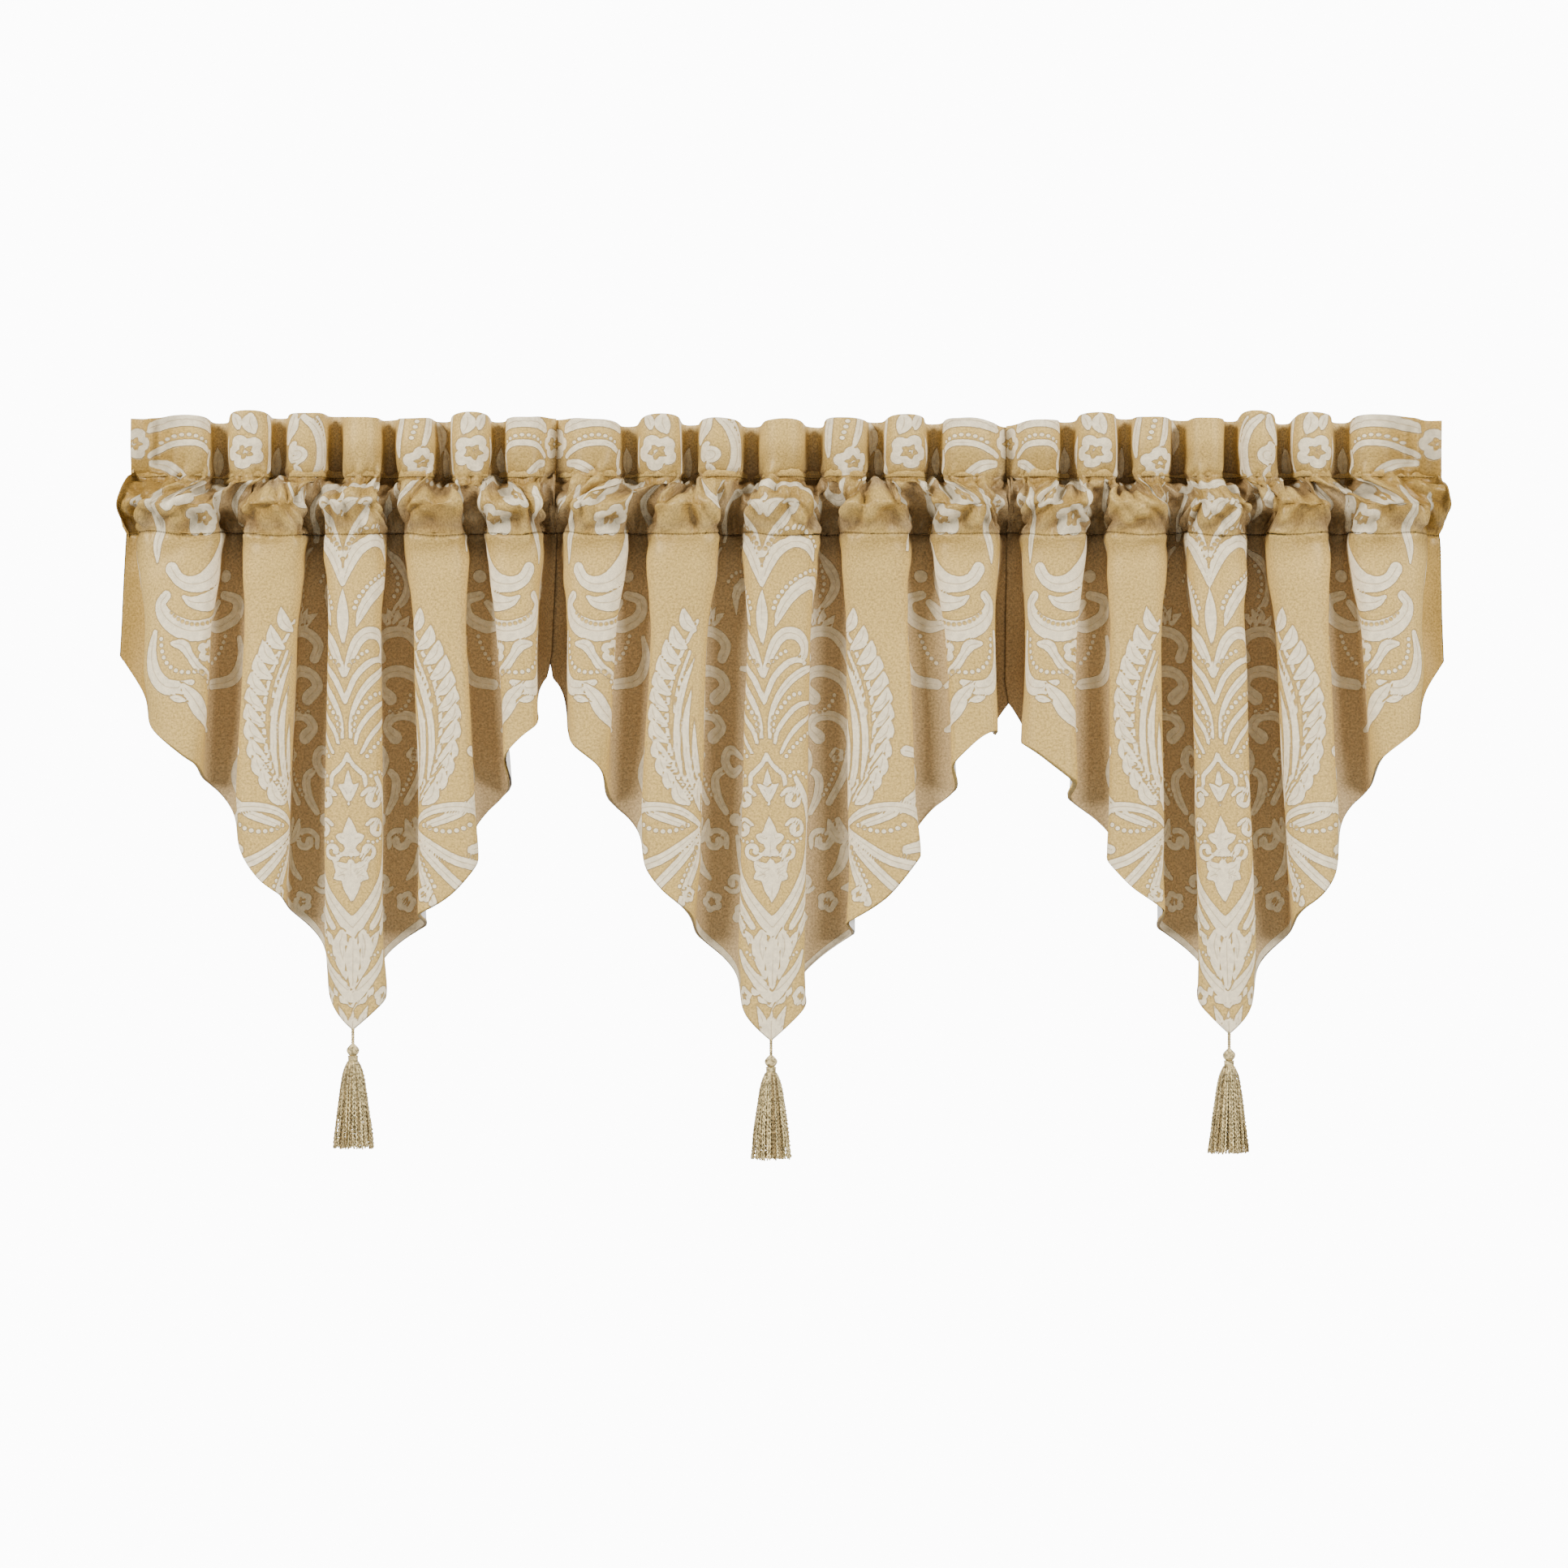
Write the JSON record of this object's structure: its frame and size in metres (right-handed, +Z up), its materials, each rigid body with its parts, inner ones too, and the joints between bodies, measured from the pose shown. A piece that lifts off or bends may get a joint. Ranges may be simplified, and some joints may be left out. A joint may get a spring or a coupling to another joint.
{
  "type": "ascot valance",
  "caption": "Row of pointed ascot valances with ruffled headers, rod pockets, deep organ-pipe folds, white lining and a tassel at each tip.",
  "frame": {"origin": "on the line of the curtain rod, halfway between the two sewn lines of the rod pocket, at the middle of the row's width", "axes": "+X along the rod to the viewer's right, +Y towards the window, so the front faces -Y, and +Z up"},
  "size_m": [1.3981, 0.0815, 0.7846],
  "materials": {
    "satin": "gold satin with raised cream damask figures",
    "lining": "plain matt off-white lining cloth",
    "silk": "lustrous pale gold tassel yarn"
  },
  "bodies": {
    "root": {"heading_left": "satin", "face_left": "satin", "lining_left": "lining", "tassel_cord_left": "silk", "tassel_left": "silk", "heading_centre": "satin", "face_centre": "satin", "lining_centre": "lining", "tassel_cord_centre": "silk", "tassel_centre": "silk", "heading_right": "satin", "face_right": "satin", "lining_right": "lining", "tassel_cord_right": "silk", "tassel_right": "silk"}
  },
  "joints": []
}
